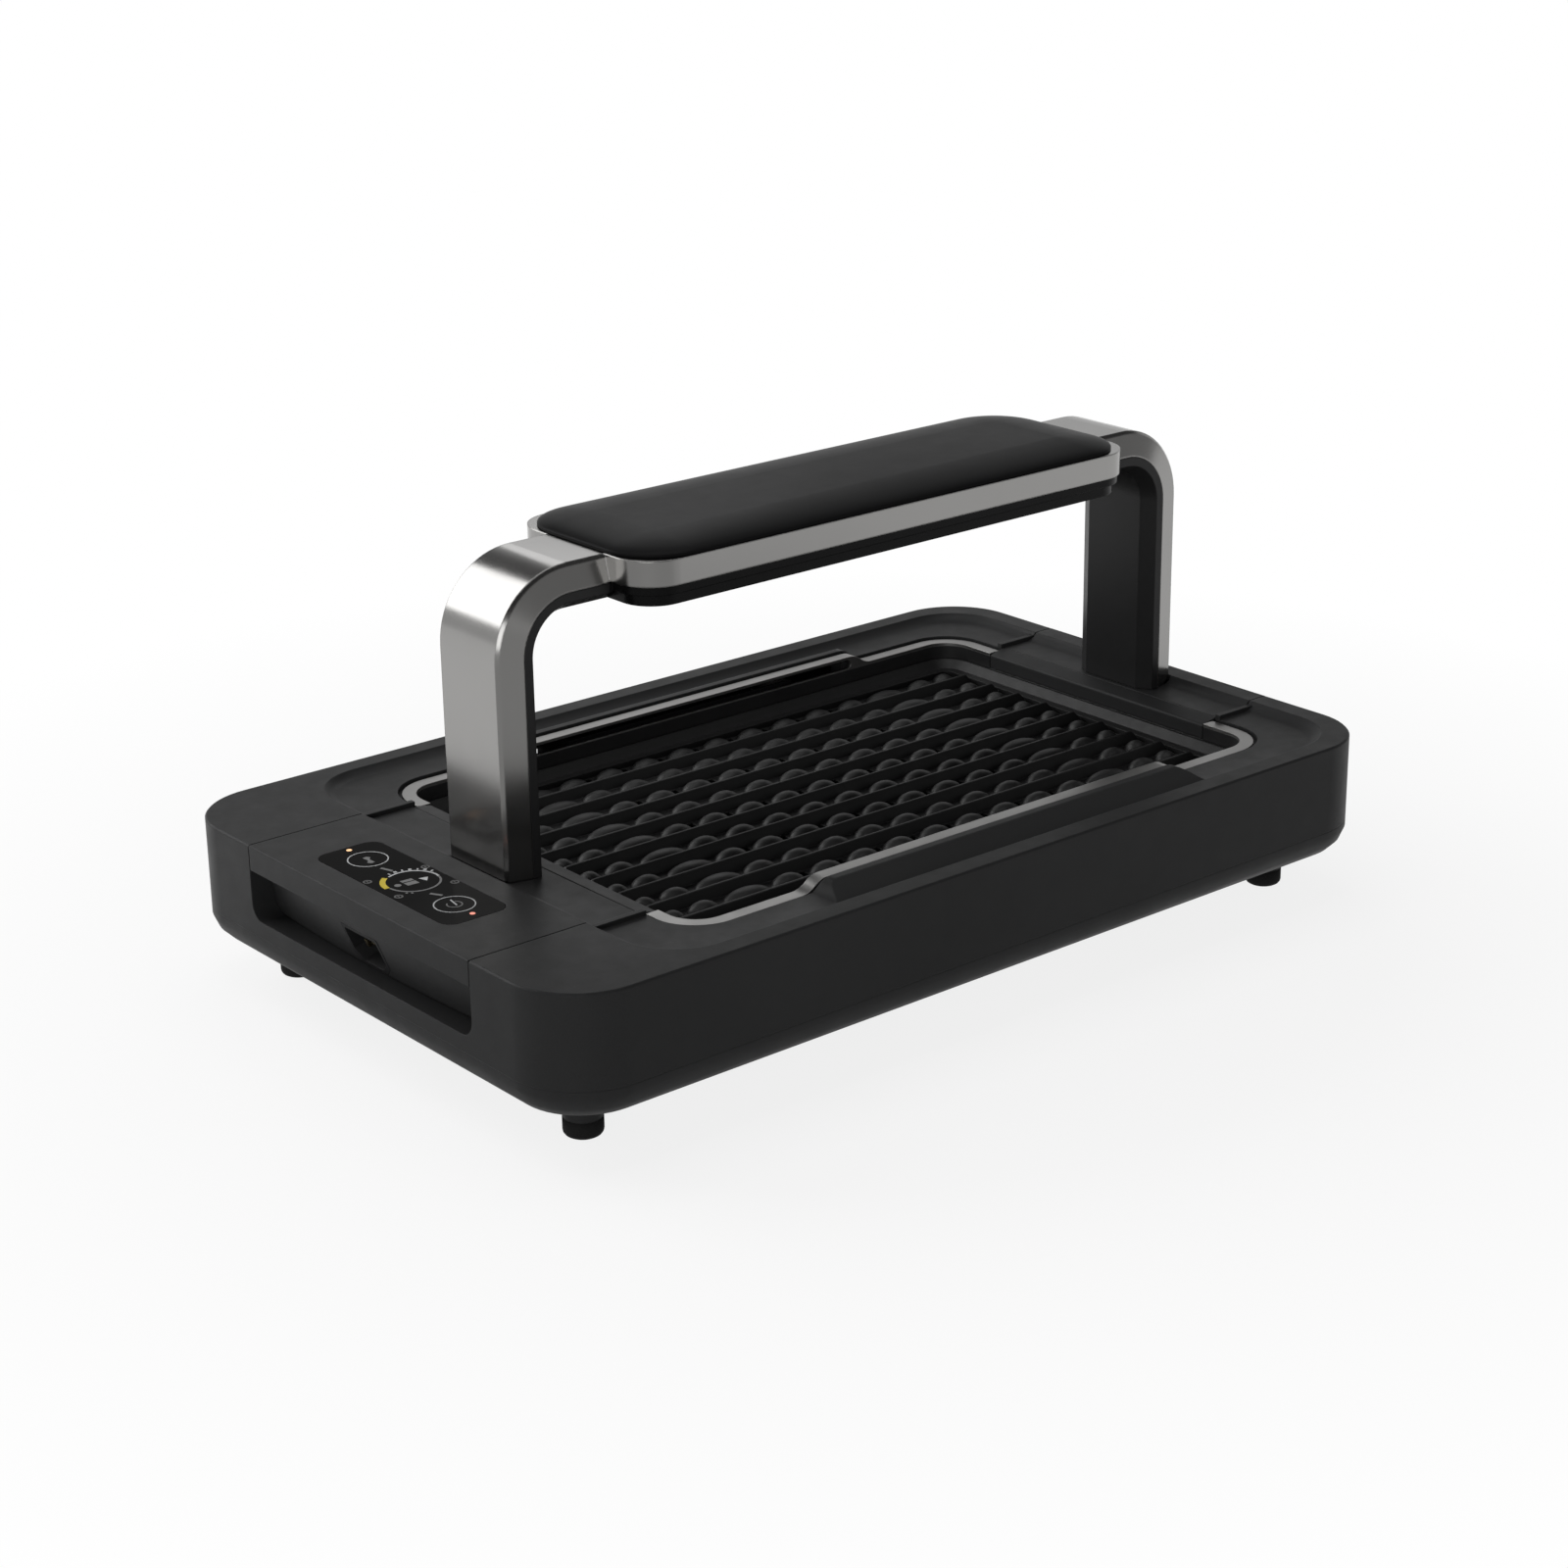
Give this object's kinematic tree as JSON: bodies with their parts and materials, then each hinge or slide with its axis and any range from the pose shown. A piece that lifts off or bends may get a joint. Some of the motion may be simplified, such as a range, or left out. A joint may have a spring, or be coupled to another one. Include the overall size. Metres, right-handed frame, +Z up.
{
  "type": "smokeless electric grill",
  "caption": "Tabletop infrared smokeless grill with a ribbed grill plate over a lift-out drip pan and an arched heater head above it.",
  "frame": {"origin": "on the floor under the centre of the base, level with the bottoms of the feet", "axes": "+X along the length away from the controls, +Y to the back, +Z up"},
  "size_m": [0.5, 0.306, 0.2243],
  "materials": {
    "shell_plastic": "fine matte charcoal moulding",
    "rubber": "matte",
    "steel": "brushed",
    "zinc": "plated",
    "inner_plastic": "matte black",
    "motor_can": "plain sheet steel",
    "coated_metal": "dark non-stick coating",
    "pan_metal": "satin rim, darker inside",
    "panel": "glossy black with printed rings and lamps",
    "board": "green circuit board",
    "contact": "plated contacts",
    "satin_silver": "satin",
    "black_satin": "satin black",
    "quartz": "clear quartz",
    "ceramic": "unglazed",
    "element": "wound heating wire",
    "mirror_sheet": "polished reflector sheet"
  },
  "bodies": {
    "base": {"base_housing": "shell_plastic", "bottom_shell": "shell_plastic", "foot_pads": "rubber", "case_screws": "zinc", "well_liner": "steel", "blower_housing": "inner_plastic", "blower_motor": "motor_can", "intake_duct": "inner_plastic", "base_socket": "inner_plastic"},
    "rotor": {"blower_rotor": "inner_plastic"},
    "pan": {"drip_pan": "pan_metal"},
    "plate": {"grill_plate": "coated_metal"},
    "heater_unit": {"left_module": "shell_plastic", "left_module_base": "inner_plastic", "right_module": "shell_plastic", "right_module_base": "inner_plastic", "touch_panel": "panel", "control_board": "board", "inlet_housing": "inner_plastic", "inlet_pins": "contact", "module_plug": "inner_plastic", "arch_shell": "satin_silver", "left_leg_lining": "black_satin", "right_leg_lining": "black_satin", "heater_cover": "black_satin", "heater_body": "black_satin", "reflector": "mirror_sheet", "heater_tubes": "quartz", "heating_coils": "element", "tube_caps": "ceramic", "guard_grille": "steel", "leg_clamps": "steel", "leg_bolts": "zinc"}
  },
  "joints": [
    {"name": "pan_lift", "type": "slide", "parent": "base", "child": "pan", "axis": [0, 0, 1], "range_m": [0, 0.06]},
    {"name": "head_lift", "type": "slide", "parent": "pan", "child": "heater_unit", "axis": [0, 0, 1], "range_m": [0, 0.06]},
    {"name": "plate_lift", "type": "slide", "parent": "pan", "child": "plate", "axis": [0, 0, 1], "range_m": [0, 0.03]},
    {"name": "blower_spin", "type": "hinge", "parent": "base", "child": "rotor", "pos_m": [0.0265, 0.13425, 0.05], "axis": [1, 0, 0], "continuous": true}
  ]
}
